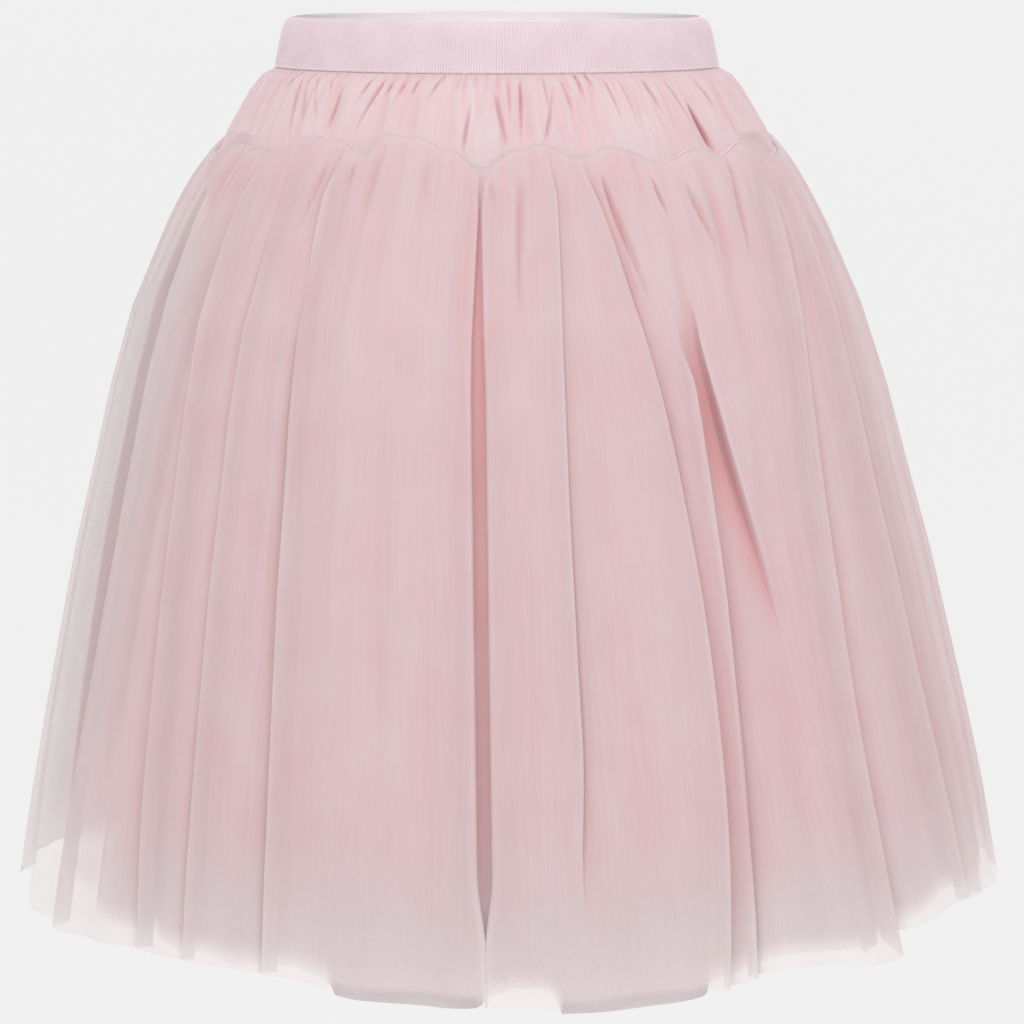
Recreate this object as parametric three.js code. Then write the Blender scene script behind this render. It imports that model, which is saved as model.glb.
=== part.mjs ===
// Gathered tulle skirt with an elastic waistband, filled out as if it were worn.
// Units are millimetres, +Z is up and the front of the skirt faces -Y.
// The origin is the centre of the waistband, halfway up it.
// Angles run round the waist: 0 is the front centre, 90 the +X side, 180 the back centre.
import * as THREE from 'three';

// Driving sizes of the waistband, the seams and the walls
const bandTop = 15;
const bandBottom = -15;
const bandWall = 2.4;
const yokeWall = 1.2;
const tierWall = 1.6;
const underWall = 1.2;
const liningWall = 1.0;
const seamGap = 0.3;
const tierSeamGap = 0.6;
const sideSeamGap = 0.3;

// Driving sizes of the gathers, the folds and the two inner pieces
const yokeGathers = 60;
const gatherAtBand = 0.5;
const gatherDepth = 2.6;
const gatherAtSeam = 0.7;
const gatherPuff = 7;
const shoulderDrop = 6;
const foldAtSeam = 0.28;
const flankAtSeam = 0.7;
const floorPerInset = 0.75;
const longestStretch = 1.8;
const underInsetAtSeam = 3.3;
const underInset = 9;
const underInsetDrop = 45;
const liningHem = -472;
const liningRipple = 2.5;
const liningRipples = 10;
const hemDrift = 8.4;
const driftStart = -160;
const driftEnd = -520;

// How many strips each wall is cut into
const bandSteps = 72;
const gatherSteps = 4;
const yokeRows = [0, 0.1, 0.45, 1];
const tierRows = [0, 0.005, 0.018, 0.05, 0.14, 0.34, 0.62, 1];
const underRows = [0.005, 0.018, 0.05, 0.14, 0.34, 0.62, 0.945];
const liningSteps = 30;
const liningRows = [0, 0.12, 0.5, 1];
const degreesPerStep = 2.4;
const fewestSteps = 4;

// Outline of the yoke, from the band's lower edge to below the tier seam
const yokeOutline = [
  { height: -15, halfWidth: 132.6, halfDepth: 97.0 },
  { height: -20, halfWidth: 142.0, halfDepth: 106.5 },
  { height: -28, halfWidth: 149.0, halfDepth: 114.0 },
  { height: -40, halfWidth: 156.0, halfDepth: 122.0 },
  { height: -52, halfWidth: 163.0, halfDepth: 130.0 },
  { height: -66, halfWidth: 169.0, halfDepth: 139.0 },
  { height: -80, halfWidth: 173.0, halfDepth: 144.0 },
];

// Outline of the lower tier, over the crests of its folds
const tierOutline = [
  { height: -45, halfWidth: 171, halfDepth: 139 },
  { height: -60, halfWidth: 176, halfDepth: 145 },
  { height: -83, halfWidth: 187, halfDepth: 156 },
  { height: -108, halfWidth: 200, halfDepth: 168 },
  { height: -156, halfWidth: 221, halfDepth: 189 },
  { height: -205, halfWidth: 236, halfDepth: 204 },
  { height: -254, halfWidth: 248, halfDepth: 216 },
  { height: -304, halfWidth: 261, halfDepth: 228 },
  { height: -404, halfWidth: 283, halfDepth: 248 },
  { height: -454, halfWidth: 293, halfDepth: 256 },
  { height: -526, halfWidth: 305, halfDepth: 264 },
];

// Outline of the lining, a plain A-line
const liningOutline = [
  { height: -15, halfWidth: 130.6, halfDepth: 94.9 },
  { height: -60, halfWidth: 148, halfDepth: 117 },
  { height: -180, halfWidth: 178, halfDepth: 142 },
  { height: -330, halfWidth: 206, halfDepth: 162 },
  { height: -480, halfWidth: 230, halfDepth: 178 },
];

// The wavy seam between the yoke and the lower tier: its height at each angle
const seamLine = [
  { angle: -90, height: -65 },
  { angle: -77, height: -66 },
  { angle: -65, height: -59 },
  { angle: -52, height: -61 },
  { angle: -40, height: -52 },
  { angle: -29, height: -58 },
  { angle: -18, height: -50 },
  { angle: -3, height: -65 },
  { angle: 7, height: -55 },
  { angle: 16, height: -60 },
  { angle: 24, height: -57 },
  { angle: 34, height: -64 },
  { angle: 43, height: -59 },
  { angle: 51, height: -62 },
  { angle: 61, height: -57 },
  { angle: 74, height: -65 },
  { angle: 90, height: -64 },
  { angle: 108, height: -57 },
  { angle: 121, height: -64 },
  { angle: 137, height: -54 },
  { angle: 152, height: -62 },
  { angle: 165, height: -55 },
  { angle: 177, height: -64 },
  { angle: 192, height: -56 },
  { angle: 207, height: -62 },
  { angle: 222, height: -53 },
  { angle: 238, height: -63 },
  { angle: 254, height: -58 },
];

// The hem of the lower tier: its height at each angle
const hemLine = [
  { angle: -90, height: -508 },
  { angle: -62, height: -516 },
  { angle: -45, height: -512 },
  { angle: -26, height: -513 },
  { angle: -16, height: -520 },
  { angle: 7, height: -525 },
  { angle: 22, height: -521 },
  { angle: 33, height: -510 },
  { angle: 44, height: -514 },
  { angle: 62, height: -503 },
  { angle: 90, height: -506 },
  { angle: 116, height: -514 },
  { angle: 142, height: -509 },
  { angle: 168, height: -519 },
  { angle: 194, height: -514 },
  { angle: 220, height: -521 },
  { angle: 246, height: -512 },
];

// Folds of the lower tier. Each row is the valley between two folds: its angle at the seam,
// partway down and at the hem, how deep it is at the hem, how wide its flank is there, and the
// share of the drop where it begins. The first row of each panel is its side seam.
const frontFolds = [
  { seam: -90, middle: -90, hem: -90, deep: 5, flank: 26, start: 0 },
  { seam: -61, middle: -69, hem: -65, deep: 19, flank: 34, start: 0 },
  { seam: -46, middle: -48.5, hem: -45, deep: 14, flank: 26, start: 0 },
  { seam: -41, middle: -39.5, hem: -37.5, deep: 11, flank: 20, start: 0 },
  { seam: -31.5, middle: -28.5, hem: -26.5, deep: 15, flank: 24, start: 0 },
  { seam: -3.2, middle: -2.8, hem: -2.8, deep: 34, flank: 17, start: 0 },
  { seam: 10.5, middle: 8.3, hem: 8.8, deep: 12, flank: 20, start: 0 },
  { seam: 16.5, middle: 25, hem: 24, deep: 12, flank: 22, start: 0 },
  { seam: 29.5, middle: 30, hem: 28.5, deep: 17, flank: 30, start: 0.2 },
  { seam: 62, middle: 48, hem: 47.8, deep: 16, flank: 26, start: 0 },
  { seam: 70, middle: 62.3, hem: 64.5, deep: 13, flank: 20, start: 0 },
  { seam: 77, middle: 69.5, hem: 69, deep: 13, flank: 20, start: 0.1 },
];
const backFolds = [
  { seam: 90, middle: 90, hem: 90, deep: 5, flank: 26, start: 0 },
  { seam: 102, middle: 104, hem: 103, deep: 13, flank: 24, start: 0 },
  { seam: 113, middle: 115, hem: 114, deep: 10, flank: 20, start: 0 },
  { seam: 127, middle: 124, hem: 126, deep: 16, flank: 28, start: 0 },
  { seam: 139, middle: 141, hem: 140, deep: 12, flank: 22, start: 0 },
  { seam: 149, middle: 148, hem: 151, deep: 15, flank: 22, start: 0.1 },
  { seam: 163, middle: 166, hem: 164, deep: 11, flank: 24, start: 0 },
  { seam: 176, middle: 175, hem: 177, deep: 26, flank: 20, start: 0 },
  { seam: 188, middle: 190, hem: 188, deep: 13, flank: 22, start: 0 },
  { seam: 203, middle: 200, hem: 202, deep: 15, flank: 26, start: 0 },
  { seam: 212, middle: 214, hem: 213, deep: 10, flank: 20, start: 0.15 },
  { seam: 226, middle: 229, hem: 228, deep: 17, flank: 28, start: 0 },
  { seam: 240, middle: 238, hem: 239, deep: 12, flank: 22, start: 0 },
  { seam: 251, middle: 253, hem: 250, deep: 14, flank: 24, start: 0 },
];
const middleDrop = 0.42;

// Reads one column of an outline table at a height, on a straight line between its rows
function outlineAt(table, height, column) {
  let row = 1;
  while (row < table.length - 1 && height < table[row].height) {
    row += 1;
  }
  const upper = table[row - 1];
  const lower = table[row];
  const share = (upper.height - height) / (upper.height - lower.height);
  return upper[column] + (lower[column] - upper[column]) * share;
}

// Reads a line that runs right round the skirt, easing from each row to the next
function lineAt(table, angle) {
  const first = table[0].angle;
  const turned = first + ((((angle - first) % 360) + 360) % 360);
  let row = 0;
  while (row < table.length - 1 && turned >= table[row + 1].angle) {
    row += 1;
  }
  const here = table[row];
  const next = table[(row + 1) % table.length];
  const nextAngle = row === table.length - 1 ? first + 360 : next.angle;
  const share = (turned - here.angle) / (nextAngle - here.angle);
  return here.height + (next.height - here.height) * (1 - Math.cos(Math.PI * share)) / 2;
}

function smoothStep(from, to, value) {
  const share = Math.min(1, Math.max(0, (value - from) / (to - from)));
  return share * share * (3 - 2 * share);
}

// Point on an oval at an angle, moved outwards square to the oval, and drifted sideways
function ovalPoint(halfWidth, halfDepth, angle, outwards, height) {
  const turn = THREE.MathUtils.degToRad(angle);
  const normal = new THREE.Vector2(Math.sin(turn) / halfWidth, -Math.cos(turn) / halfDepth).normalize();
  const drift = hemDrift * THREE.MathUtils.clamp((height - driftStart) / (driftEnd - driftStart), 0, 1);
  return new THREE.Vector3(
    halfWidth * Math.sin(turn) + normal.x * outwards + drift,
    -halfDepth * Math.cos(turn) + normal.y * outwards,
    height,
  );
}

// Length of oval that one degree covers at an angle
function degreeLength(halfWidth, halfDepth, angle) {
  const turn = THREE.MathUtils.degToRad(angle);
  return THREE.MathUtils.degToRad(Math.hypot(halfWidth * Math.cos(turn), halfDepth * Math.sin(turn)));
}

// Uneven gathers: 0 on a crest and 1 in a valley
function gatherWave(angle) {
  const turn = THREE.MathUtils.degToRad(angle);
  const phase = yokeGathers * turn + 1.7 * Math.sin(5 * turn + 0.7) + 1.1 * Math.sin(11 * turn + 2);
  const size = 0.75 + 0.25 * Math.sin(7 * turn + 1.3);
  return size * (0.5 - 0.5 * Math.cos(phase));
}

// Outer face of the yoke. Share runs from 0 at the band to 1 at the tier seam.
function yokePoint(angle, share) {
  const top = bandBottom - seamGap;
  const height = top + (lineAt(seamLine, angle) + tierSeamGap / 2 - top) * share;
  const fall = top - height;
  const puffed = smoothStep(0, gatherPuff, fall);
  const depth = gatherAtBand + (gatherDepth - gatherAtBand) * puffed;
  const eased = depth + (gatherAtSeam - depth) * smoothStep(0.3, 1, share);
  return ovalPoint(
    outlineAt(yokeOutline, height, 'halfWidth'),
    outlineAt(yokeOutline, height, 'halfDepth'),
    angle,
    -eased * gatherWave(angle),
    height,
  );
}

// Angle of a fold's valley at a share of the drop, on a curve through its three angles
function valleyAngle(fold, share) {
  const rest = share / middleDrop;
  const beyond = (share - middleDrop) / (1 - middleDrop);
  const chord = fold.seam + (fold.hem - fold.seam) * share;
  const bend = fold.middle - (fold.seam + (fold.hem - fold.seam) * middleDrop);
  const ease = share < middleDrop ? 1 - (1 - rest) ** 2 : 1 - beyond ** 2;
  return chord + bend * ease;
}

function valleyDepth(fold, share) {
  const grown = foldAtSeam + (1 - foldAtSeam) * Math.sqrt(share);
  const begun = fold.start === 0 ? 1 : smoothStep(fold.start - 0.1, fold.start + 0.15, share);
  return fold.deep * grown * begun;
}

// How far a valley draws the cloth in at a distance from it, from 1 on its floor to 0
function flankDraw(distance, flank) {
  const left = 1 - Math.min(1, Math.max(0, distance / flank));
  return left * left;
}

// Outer face of the lower tier: across runs from 0 to 1 between two valleys. A layer that is
// inset has flat floors in its valleys, so that it clears the flanks of the layer over it.
function tierPoint(fold, nextFold, across, share, inset) {
  const from = valleyAngle(fold, share);
  const to = valleyAngle(nextFold, share);
  const angle = from + (to - from) * across;
  const top = lineAt(seamLine, angle) - tierSeamGap / 2;
  const height = top + (lineAt(hemLine, angle) - top) * share;
  const halfWidth = outlineAt(tierOutline, height, 'halfWidth');
  const halfDepth = outlineAt(tierOutline, height, 'halfDepth');
  const fall = top - height;
  const floor = floorPerInset * inset(fall);
  const perDegree = degreeLength(halfWidth, halfDepth, angle);
  const spread = flankAtSeam + (1 - flankAtSeam) * share;
  const before = flankDraw((angle - from) * perDegree - floor, fold.flank * spread);
  const after = flankDraw((to - angle) * perDegree - floor, nextFold.flank * spread);
  const drawnIn = Math.max(valleyDepth(fold, share) * before, valleyDepth(nextFold, share) * after);
  const open = 1 - Math.exp(-fall / shoulderDrop);
  const crest = ovalPoint(halfWidth, halfDepth, angle, -drawnIn - inset(fall), height);
  const edge = ovalPoint(
    outlineAt(yokeOutline, height, 'halfWidth'),
    outlineAt(yokeOutline, height, 'halfDepth'),
    angle,
    -gatherAtSeam * gatherWave(angle) - inset(fall),
    height,
  );
  return edge.lerp(crest, open);
}

// Columns of a panel: pairs of folds, with places between them that crowd to the valleys
function panelColumns(folds, closing) {
  const columns = [];
  const rows = [...folds, closing];
  for (let lobe = 0; lobe < folds.length; lobe += 1) {
    const fold = rows[lobe];
    const next = rows[lobe + 1];
    const widest = Math.max(next.seam - fold.seam, next.middle - fold.middle, next.hem - fold.hem);
    const steps = Math.max(fewestSteps, Math.round(widest / degreesPerStep));
    const last = lobe === folds.length - 1 ? steps : steps - 1;
    for (let step = 0; step <= last; step += 1) {
      const across = (1 - Math.cos(Math.PI * step / steps)) / 2;
      columns.push({ fold, next, across });
    }
  }
  return columns;
}

// Sum of the unit steps into and out of a point: twice as long as one where the line is straight
function stepsThrough(before, here, after) {
  const into = here.clone().sub(before).normalize();
  const outOf = after.clone().sub(here).normalize();
  return into.add(outOf);
}

// Vector from a point of a grid out of the cloth, longer in a sharp fold so that the wall
// behind it keeps its thickness
function outwardAt(grid, row, column, wraps) {
  const line = grid[row];
  const count = line.length;
  const left = wraps ? (column + count - 1) % count : Math.max(0, column - 1);
  const right = wraps ? (column + 1) % count : Math.min(count - 1, column + 1);
  const above = grid[Math.max(0, row - 1)][column];
  const below = grid[Math.min(grid.length - 1, row + 1)][column];
  const along = stepsThrough(line[left], line[column], line[right]);
  const down = stepsThrough(above, line[column], below);
  const atEnd = left === column || right === column;
  const stretch = atEnd ? 1 : 2 / Math.max(along.length(), 2 / longestStretch);
  return down.cross(along).normalize().multiplyScalar(stretch);
}

// Closed wall from a grid of outer points: the inner face lies the wall's thickness behind it
function wallGeometry(outer, thickness, wraps) {
  const rows = outer.length;
  const columns = outer[0].length;
  const inner = outer.map((line, row) => line.map((point, column) => {
    const outward = outwardAt(outer, row, column, wraps);
    const level = new THREE.Vector3(outward.x, outward.y, 0).setLength(outward.length());
    const edge = row === 0 || row === rows - 1;
    return point.clone().addScaledVector(edge ? level : outward, -thickness);
  }));
  const positions = [];
  for (const face of [outer, inner]) {
    for (const line of face) {
      for (const point of line) {
        positions.push(point.x, point.y, point.z);
      }
    }
  }
  const at = (face, row, column) => (face * rows + row) * columns + (column % columns);
  const triangles = [];
  const quad = (a, b, c, d) => triangles.push(a, b, c, a, c, d);
  const strips = wraps ? columns : columns - 1;
  for (let column = 0; column < strips; column += 1) {
    for (let row = 0; row < rows - 1; row += 1) {
      quad(at(0, row, column), at(0, row + 1, column), at(0, row + 1, column + 1), at(0, row, column + 1));
      quad(at(1, row, column), at(1, row, column + 1), at(1, row + 1, column + 1), at(1, row + 1, column));
    }
    const last = rows - 1;
    quad(at(1, 0, column), at(0, 0, column), at(0, 0, column + 1), at(1, 0, column + 1));
    quad(at(0, last, column), at(1, last, column), at(1, last, column + 1), at(0, last, column + 1));
  }
  if (!wraps) {
    const end = columns - 1;
    for (let row = 0; row < rows - 1; row += 1) {
      quad(at(1, row, 0), at(1, row + 1, 0), at(0, row + 1, 0), at(0, row, 0));
      quad(at(0, row, end), at(0, row + 1, end), at(1, row + 1, end), at(1, row, end));
    }
  }
  const geometry = new THREE.BufferGeometry();
  geometry.setAttribute('position', new THREE.Float32BufferAttribute(positions, 3));
  geometry.setIndex(triangles);
  geometry.computeVertexNormals();
  return geometry;
}

// Moves the two side edges of a front or back panel apart from the side seam
function clearSideSeams(grid, facing) {
  for (const line of grid) {
    line[0].y -= facing * sideSeamGap / 2;
    line[line.length - 1].y -= facing * sideSeamGap / 2;
  }
  return grid;
}

function piece(name, geometry, color, roughness) {
  const material = new THREE.MeshStandardMaterial({ color, roughness, metalness: 0 });
  const mesh = new THREE.Mesh(geometry, material);
  mesh.name = name;
  return mesh;
}

// Waistband: one closed ring of woven elastic that widens a little towards the yoke
function waistband() {
  const outline = [
    { height: bandTop, halfWidth: 124.4, halfDepth: 91 },
    { height: (bandTop + bandBottom) / 2, halfWidth: 129.3, halfDepth: 94.8 },
    { height: bandBottom, halfWidth: 133.8, halfDepth: 98.3 },
  ];
  const grid = outline.map(({ height, halfWidth, halfDepth }) => {
    const line = [];
    for (let step = 0; step < bandSteps; step += 1) {
      line.push(ovalPoint(halfWidth, halfDepth, 360 * step / bandSteps, 0, height));
    }
    return line;
  });
  return piece('waistband', wallGeometry(grid, bandWall, true), 0xe9d2d8, 0.75);
}

// Yoke: the short upper tier of gathered tulle, cut as a front and a back
function yokePanel(name, facing) {
  const start = facing > 0 ? -90 : 90;
  const steps = yokeGathers / 2 * gatherSteps;
  const grid = yokeRows.map((share) => {
    const line = [];
    for (let step = 0; step <= steps; step += 1) {
      line.push(yokePoint(start + 180 * step / steps, share));
    }
    return line;
  });
  return piece(name, wallGeometry(clearSideSeams(grid, facing), yokeWall, false), 0xe6cdd1, 0.8);
}

// Lower tier: the long, much fuller panel of tulle, cut as a front and a back
function tierPanel(name, folds, closing, facing) {
  const columns = panelColumns(folds, closing);
  const flush = () => 0;
  const grid = tierRows.map((share) => columns.map(
    ({ fold, next, across }) => tierPoint(fold, next, across, share, flush),
  ));
  return piece(name, wallGeometry(clearSideSeams(grid, facing), tierWall, false), 0xe2c8cb, 0.8);
}

// Under tier: the second layer of tulle, sewn into the same seam and a little shorter. It is
// made from the points of the outer layer, moved in.
function underPanel(name, folds, closing, facing) {
  const columns = panelColumns(folds, closing);
  const inset = (fall) => underInsetAtSeam
    + (underInset - underInsetAtSeam) * smoothStep(0, underInsetDrop, fall);
  const grid = underRows.map((share) => columns.map(
    ({ fold, next, across }) => tierPoint(fold, next, across, share, inset),
  ));
  return piece(name, wallGeometry(clearSideSeams(grid, facing), underWall, false), 0xdfc2c6, 0.8);
}

// Lining: a plain A-line slip of satin, cut as a front and a back and sewn under the band
function liningPanel(name, facing) {
  const start = facing > 0 ? -90 : 90;
  const top = bandBottom - seamGap;
  const grid = liningRows.map((share) => {
    const line = [];
    for (let step = 0; step <= liningSteps; step += 1) {
      const angle = start + 180 * step / liningSteps;
      const height = top + (liningHem - top) * share;
      const ripple = liningRipple * share * (Math.cos(THREE.MathUtils.degToRad(angle * liningRipples)) - 1);
      line.push(ovalPoint(
        outlineAt(liningOutline, height, 'halfWidth'),
        outlineAt(liningOutline, height, 'halfDepth'),
        angle,
        ripple,
        height,
      ));
    }
    return line;
  });
  return piece(name, wallGeometry(clearSideSeams(grid, facing), liningWall, false), 0xdbaeb2, 0.45);
}

const front = 1;
const back = -1;
const frontSeam = frontFolds[0];
const backSeam = backFolds[0];
const turnedFrontSeam = {
  ...frontSeam,
  seam: frontSeam.seam + 360,
  middle: frontSeam.middle + 360,
  hem: frontSeam.hem + 360,
};

const skirt = new THREE.Group();
skirt.add(
  waistband(),
  yokePanel('yoke_front', front),
  yokePanel('yoke_back', back),
  tierPanel('lower_tier_front', frontFolds, backSeam, front),
  tierPanel('lower_tier_back', backFolds, turnedFrontSeam, back),
  underPanel('under_tier_front', frontFolds, backSeam, front),
  underPanel('under_tier_back', backFolds, turnedFrontSeam, back),
  liningPanel('lining_front', front),
  liningPanel('lining_back', back),
);

export default skirt;
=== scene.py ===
# Gathered tulle skirt with a ribbed elastic waistband, filled out as it is worn.
# Everything is in metres: +Z is up, the front faces -Y, and the origin is the band's centre.
# Angles run round the waist in degrees: 0 is the front centre, 90 the +X side, 180 the back.
from collections import namedtuple
import bpy
import mathutils
import numpy as np
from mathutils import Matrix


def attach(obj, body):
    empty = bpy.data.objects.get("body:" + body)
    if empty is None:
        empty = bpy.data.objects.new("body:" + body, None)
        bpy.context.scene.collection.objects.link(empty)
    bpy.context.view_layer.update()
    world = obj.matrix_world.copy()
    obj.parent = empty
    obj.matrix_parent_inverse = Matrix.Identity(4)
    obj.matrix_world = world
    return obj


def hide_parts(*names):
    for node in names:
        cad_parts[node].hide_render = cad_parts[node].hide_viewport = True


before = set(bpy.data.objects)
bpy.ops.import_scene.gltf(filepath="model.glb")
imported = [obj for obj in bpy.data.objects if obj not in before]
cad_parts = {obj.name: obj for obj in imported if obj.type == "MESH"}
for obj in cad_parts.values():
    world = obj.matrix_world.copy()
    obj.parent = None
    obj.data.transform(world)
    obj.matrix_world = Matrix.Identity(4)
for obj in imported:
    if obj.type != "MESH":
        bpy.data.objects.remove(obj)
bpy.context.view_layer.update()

scene = bpy.context.scene

# Lining: a plain A-line slip of polyester satin, a front and a back joined at the sides. It is
# sewn in under the band and ends above the hem of the tulle, and gives the skirt its deep pink.
lining_outline = {
    "height": [-0.015, -0.060, -0.180, -0.330, -0.480],
    "half_width": [0.1306, 0.148, 0.178, 0.206, 0.230],
    "half_depth": [0.0949, 0.117, 0.142, 0.162, 0.178],
}
lining_top = -0.0153
lining_hem = -0.472
lining_ripple = 0.0025
lining_ripples = 10
lining_wrinkle = 0.0012
# Between these heights the whole skirt comes to stand a little to its +X side
hem_drift = 0.0084
drift_start = -0.160
drift_end = -0.520


def read(table, column, height):
    """A column of an outline, read at any height between its rows."""
    return np.interp(-height, np.negative(table["height"]), table[column])


def smooth_step(start, end, value):
    """0 up to the start and 1 from the end on, easing between them."""
    share = np.clip((value - start) / (end - start), 0, 1)
    return share * share * (3 - 2 * share)


def oval_point(half_width, half_depth, angle, outwards, height, sideways=0.0):
    """Point on an oval at an angle, moved outwards and sideways, square to it and along it."""
    turn = np.radians(angle)
    across, forward = np.sin(turn) / half_width, -np.cos(turn) / half_depth
    length = np.hypot(across, forward)
    across, forward = across / length, forward / length
    drift = hem_drift * np.clip((height - drift_start) / (drift_end - drift_start), 0, 1)
    x = half_width * np.sin(turn) + across * outwards - forward * sideways + drift
    y = -half_depth * np.cos(turn) + forward * outwards + across * sideways
    return np.stack(np.broadcast_arrays(x, y, height), axis=-1)


def cloth(name, points, across, down, masks=None):
    """Sheet through a grid of points, with its threads' places as UVs and its masks as attributes."""
    rows, columns = points.shape[:2]
    index = np.arange(rows * columns).reshape(rows, columns)
    corners = (index[:-1, :-1], index[1:, :-1], index[1:, 1:], index[:-1, 1:])
    faces = np.stack(corners, axis=-1).reshape(-1, 4)
    mesh = bpy.data.meshes.new(name)
    mesh.from_pydata(points.reshape(-1, 3).tolist(), [], faces.tolist())
    mesh.shade_smooth()
    threads = np.stack(np.broadcast_arrays(across, down), axis=-1).reshape(-1, 2)
    layer = mesh.uv_layers.new(name="threads")
    layer.data.foreach_set("uv", threads[faces.ravel()].ravel())
    for mask, values in (masks or {}).items():
        attribute = mesh.attributes.new(mask, "FLOAT", "POINT")
        attribute.data.foreach_set("value", np.broadcast_to(values, (rows, columns)).ravel())
    sheet = bpy.data.objects.new(name, mesh)
    scene.collection.objects.link(sheet)
    return sheet


def colour(hex_value):
    """An sRGB hex colour as the linear colour that a shader takes."""
    parts = [int(hex_value[place:place + 2], 16) / 255 for place in (1, 3, 5)]
    linear = [part / 12.92 if part <= 0.04045 else ((part + 0.055) / 1.055) ** 2.4 for part in parts]
    return (*linear, 1.0)


def new_material(name):
    material = bpy.data.materials.new(name)
    material.use_nodes = True
    return material, material.node_tree.nodes["Principled BSDF"]


def add(material, kind, settings=None, **inputs):
    """Adds a node with its settings, and a value or a link for each of its inputs."""
    node = material.node_tree.nodes.new("ShaderNode" + kind)
    for setting, value in (settings or {}).items():
        setattr(node, setting, value)
    for place, value in inputs.items():
        socket = node.inputs[int(place[1:])] if place[1:].isdigit() else node.inputs[place.replace("_", " ")]
        if isinstance(value, bpy.types.NodeSocket):
            material.node_tree.links.new(value, socket)
        else:
            socket.default_value = value
    return node


def satin_lining():
    """Polyester satin: long floats of thread, so it is smooth, with a soft gloss down the cloth."""
    float_pitch = 0.0016   # real floats are 0.3 mm apart, drawn coarser so that they show
    wrinkle_width = 0.030
    material, shader = new_material("polyester satin")
    threads = add(material, "UVMap", {"uv_map": "threads"})
    stretched = add(material, "VectorMath", {"operation": "MULTIPLY"}, i0=threads.outputs[0],
                    i1=(1 / float_pitch, 0.25 / float_pitch, 1))
    floats = add(material, "TexNoise", None, Vector=stretched.outputs[0], Scale=1.0, Detail=2.0)
    wrinkles = add(material, "TexNoise", None, Vector=threads.outputs[0], Scale=1 / wrinkle_width, Detail=1.0)
    tint = add(material, "Mix", {"data_type": "RGBA"}, i0=wrinkles.outputs[0], i6=colour("#EFC9CD"),
               i7=colour("#F6DCDF"))
    relief = add(material, "Bump", None, Strength=0.25, Distance=0.0003, Height=floats.outputs[0])
    gloss = add(material, "MapRange", None, Value=floats.outputs[0], To_Min=0.34, To_Max=0.46)
    links = material.node_tree.links
    links.new(tint.outputs[2], shader.inputs["Base Color"])
    links.new(relief.outputs[0], shader.inputs["Normal"])
    links.new(gloss.outputs[0], shader.inputs["Roughness"])
    shader.inputs["Sheen Weight"].default_value = 0.25
    shader.inputs["Sheen Roughness"].default_value = 0.4
    return material


def side_angles(facing, steps):
    """The angles of a front or a back panel, from one side seam to the other."""
    start = -90 if facing == "front" else 90
    return np.linspace(start, start + 180, steps)


def running_length(points, row):
    """How far along the cloth each column stands, measured on one row."""
    steps = np.linalg.norm(np.diff(points[row], axis=0), axis=1)
    return np.concatenate([[0], np.cumsum(steps)])


satin = satin_lining()
for facing in ("front", "back"):
    angle = side_angles(facing, 141)[None, :]
    share = np.linspace(0, 1, 61)[:, None]
    height = lining_top + (lining_hem - lining_top) * share
    ripple = lining_ripple * share * (np.cos(np.radians(angle * lining_ripples)) - 1)
    wrinkle = lining_wrinkle * np.sin(np.radians(angle * 23) + 5 * share) * np.sin(np.pi * share)
    points = oval_point(
        read(lining_outline, "half_width", height),
        read(lining_outline, "half_depth", height),
        angle,
        ripple + wrinkle,
        height,
    )
    panel = cloth("lining_cloth_" + facing, points, running_length(points, 40), -height)
    panel.data.materials.append(satin)
    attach(panel, "root")
    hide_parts("lining_" + facing)

# Yoke: the short upper tier of soft nylon tulle, a front and a back. Its top edge is gathered
# into the band, so that fine creases fan out from there and merge into softer folds below.
band_bottom = -0.0153
yoke_outline = {
    "height": [-0.015, -0.020, -0.028, -0.040, -0.052, -0.066, -0.080],
    "half_width": [0.1326, 0.1420, 0.1490, 0.1560, 0.1630, 0.1690, 0.1730],
    "half_depth": [0.0970, 0.1065, 0.1140, 0.1220, 0.1300, 0.1390, 0.1440],
}
seam_line = {
    "angle": [-90, -77, -65, -52, -40, -33, -27, -23, -16, -9, -3, 4, 9, 16, 23, 34, 43, 50, 60, 74,
              90, 102, 113, 121, 130, 140, 152, 158, 165, 177, 186, 192, 207, 214, 222, 238, 246, 254],
    "height": [-0.065, -0.066, -0.059, -0.062, -0.051, -0.053, -0.060, -0.049, -0.050, -0.057, -0.067,
               -0.057, -0.054, -0.061, -0.056, -0.065, -0.059, -0.063, -0.056, -0.066,
               -0.064, -0.056, -0.058, -0.065, -0.056, -0.053, -0.063, -0.060, -0.054, -0.065, -0.058,
               -0.055, -0.063, -0.056, -0.052, -0.064, -0.060, -0.057],
}
gathers_round = 118
gather_deep = 0.0024
fold_deep = 0.0030
ridge_deep = 0.0020
gather_reach = 0.011
reach_varies = 0.009
tuck_under_band = 0.0004
# Places where a painted glint, the satin lining's gloss seen through the net, makes the yoke paler: angle,
# half width, and lower and upper height
painted_glint_places = [
    (-2.4, 3.4, -0.064, -0.042), (-5.2, 1.4, -0.036, -0.024), (33.8, 1.8, -0.062, -0.042),
    (-46.0, 1.4, -0.040, -0.026), (152.0, 3.0, -0.060, -0.040), (206.0, 2.4, -0.060, -0.036),
]

Crease = namedtuple("Crease", "top top_height bottom bottom_height peak deep before after")
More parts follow.
